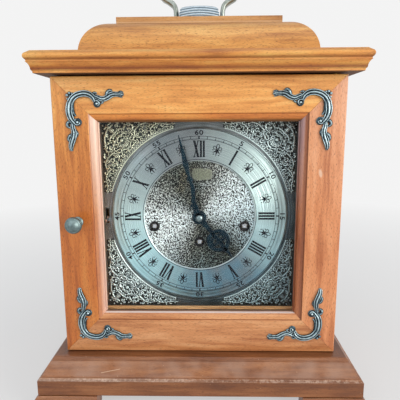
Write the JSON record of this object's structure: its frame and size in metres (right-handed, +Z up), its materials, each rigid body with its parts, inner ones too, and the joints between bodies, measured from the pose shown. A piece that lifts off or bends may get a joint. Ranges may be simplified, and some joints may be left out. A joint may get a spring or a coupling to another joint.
{
  "type": "bracket clock",
  "caption": "Wooden mantel clock with a glazed front door, moulded base and cornice, curved hood, carrying handle and a square brass dial with a silvered chapter ring.",
  "frame": {"origin": "centre of the clock's footprint, on the surface that it stands on", "axes": "+Z up, -Y out of the dial towards the viewer, +X to the viewer's right"},
  "size_m": [0.312, 0.205, 0.4157],
  "materials": {
    "case_wood": "satin lacquer",
    "base_wood": "satin lacquer, worn",
    "plain_wood": "raw",
    "aged_pewter": "antiqued cast metal",
    "pale_brass": "worn",
    "dial_brass": "antiqued",
    "ring_silver": "brushed, silvered",
    "grommet_black": "gloss",
    "plate_brass": "polished",
    "blued_steel": "blued",
    "bright_steel": "polished",
    "black_iron": "painted",
    "clear_glass": "polished"
  },
  "bodies": {
    "case": {"base": "base_wood", "foot_front_left": "base_wood", "foot_front_right": "base_wood", "foot_back_left": "base_wood", "foot_back_right": "base_wood", "side_left": "case_wood", "side_right": "case_wood", "front_frame": "case_wood", "back_frame": "case_wood", "cornice": "case_wood", "hood": "case_wood", "cap_board": "case_wood", "handle": "pale_brass", "handle_saddle": "pale_brass", "door_pivot_top": "plate_brass", "door_pivot_bottom": "plate_brass", "dial_plate": "dial_brass", "chapter_ring": "ring_silver", "spandrel_top_left": "dial_brass", "spandrel_top_right": "dial_brass", "spandrel_bottom_left": "dial_brass", "spandrel_bottom_right": "dial_brass", "grommet_chime": "grommet_black", "grommet_time": "grommet_black", "grommet_strike": "grommet_black", "front_plate": "plate_brass", "back_plate": "plate_brass", "seat_board": "plain_wood", "chime_block": "black_iron", "hammer_bracket": "black_iron"},
    "door": {"door_top_rail": "case_wood", "door_left_stile": "case_wood", "door_bottom_rail": "case_wood", "door_right_stile": "case_wood", "door_glass": "clear_glass", "glass_strip_top": "plain_wood", "glass_strip_bottom": "plain_wood", "door_knob": "aged_pewter", "ornament_top_left": "aged_pewter", "ornament_top_right": "aged_pewter", "ornament_bottom_left": "aged_pewter", "ornament_bottom_right": "aged_pewter"},
    "rear_door": {"rear_door": "case_wood"},
    "rear_catch": {"rear_catch": "plate_brass"},
    "minute_hand": {"minute_hand": "blued_steel", "hand_nut": "bright_steel", "cannon_pinion": "bright_steel"},
    "hour_hand": {"hour_hand": "blued_steel", "hour_wheel": "plate_brass"},
    "minute_wheel": {"minute_wheel": "plate_brass"},
    "chime_winding_arbor": {"chime_winding_arbor": "bright_steel"},
    "chime_barrel": {"chime_barrel": "plate_brass"},
    "time_winding_arbor": {"time_winding_arbor": "bright_steel"},
    "time_barrel": {"time_barrel": "plate_brass"},
    "strike_winding_arbor": {"strike_winding_arbor": "bright_steel"},
    "strike_barrel": {"strike_barrel": "plate_brass"},
    "silent_lever": {"silent_lever": "pale_brass"},
    "balance_wheel": {"balance_wheel": "plate_brass"},
    "hammers": {"hammers": "plate_brass"}
  },
  "joints": [
    {"name": "front_door_swing", "type": "hinge", "parent": "case", "child": "door", "pos_m": [0.122, -0.0645, 0], "axis": [0, 0, 1], "range_deg": [0, 90]},
    {"name": "rear_door_swing", "type": "hinge", "parent": "case", "child": "rear_door", "pos_m": [0.0952, 0.072, 0], "axis": [0, 0, -1], "range_deg": [0, 90]},
    {"name": "rear_catch_turn", "type": "hinge", "parent": "case", "child": "rear_catch", "pos_m": [-0.108, 0, 0.182], "axis": [0, 1, 0], "range_deg": [0, 90]},
    {"name": "minute_hand_turn", "type": "hinge", "parent": "case", "child": "minute_hand", "pos_m": [0, 0, 0.1775], "axis": [0, 1, 0], "continuous": true},
    {"name": "hour_hand_turn", "type": "hinge", "parent": "case", "child": "hour_hand", "pos_m": [0, 0, 0.1775], "axis": [0, 1, 0], "continuous": true},
    {"name": "minute_wheel_turn", "type": "hinge", "parent": "case", "child": "minute_wheel", "pos_m": [0.0096, 0, 0.19413], "axis": [0, 1, 0], "continuous": true},
    {"name": "chime_arbor_turn", "type": "hinge", "parent": "case", "child": "chime_winding_arbor", "pos_m": [-0.0445, 0, 0.167], "axis": [0, 1, 0], "continuous": true},
    {"name": "chime_barrel_turn", "type": "hinge", "parent": "case", "child": "chime_barrel", "pos_m": [-0.0445, 0, 0.167], "axis": [0, 1, 0], "continuous": true},
    {"name": "time_arbor_turn", "type": "hinge", "parent": "case", "child": "time_winding_arbor", "pos_m": [0, 0, 0.151], "axis": [0, 1, 0], "continuous": true},
    {"name": "time_barrel_turn", "type": "hinge", "parent": "case", "child": "time_barrel", "pos_m": [0, 0, 0.151], "axis": [0, 1, 0], "continuous": true},
    {"name": "strike_arbor_turn", "type": "hinge", "parent": "case", "child": "strike_winding_arbor", "pos_m": [0.0445, 0, 0.167], "axis": [0, 1, 0], "continuous": true},
    {"name": "strike_barrel_turn", "type": "hinge", "parent": "case", "child": "strike_barrel", "pos_m": [0.0445, 0, 0.167], "axis": [0, 1, 0], "continuous": true},
    {"name": "silent_lever_slide", "type": "slide", "parent": "case", "child": "silent_lever", "axis": [0, 0, 1], "range_m": [0, 0.009]},
    {"name": "balance_turn", "type": "hinge", "parent": "case", "child": "balance_wheel", "pos_m": [0.026, 0, 0.2055], "axis": [0, 1, 0], "range_deg": [-150, 150], "stiffness_Nm_per_rad": 0.00005},
    {"name": "hammers_lift", "type": "hinge", "parent": "case", "child": "hammers", "pos_m": [-0.056, 0, 0.086], "axis": [0, 1, 0], "range_deg": [0, 14]}
  ],
  "couplings": [
    {"joint": "hour_hand_turn", "follows": "minute_hand_turn", "ratio": 0.083333},
    {"joint": "minute_wheel_turn", "follows": "minute_hand_turn", "ratio": -0.33333},
    {"joint": "time_barrel_turn", "follows": "minute_hand_turn", "ratio": -0.125}
  ]
}
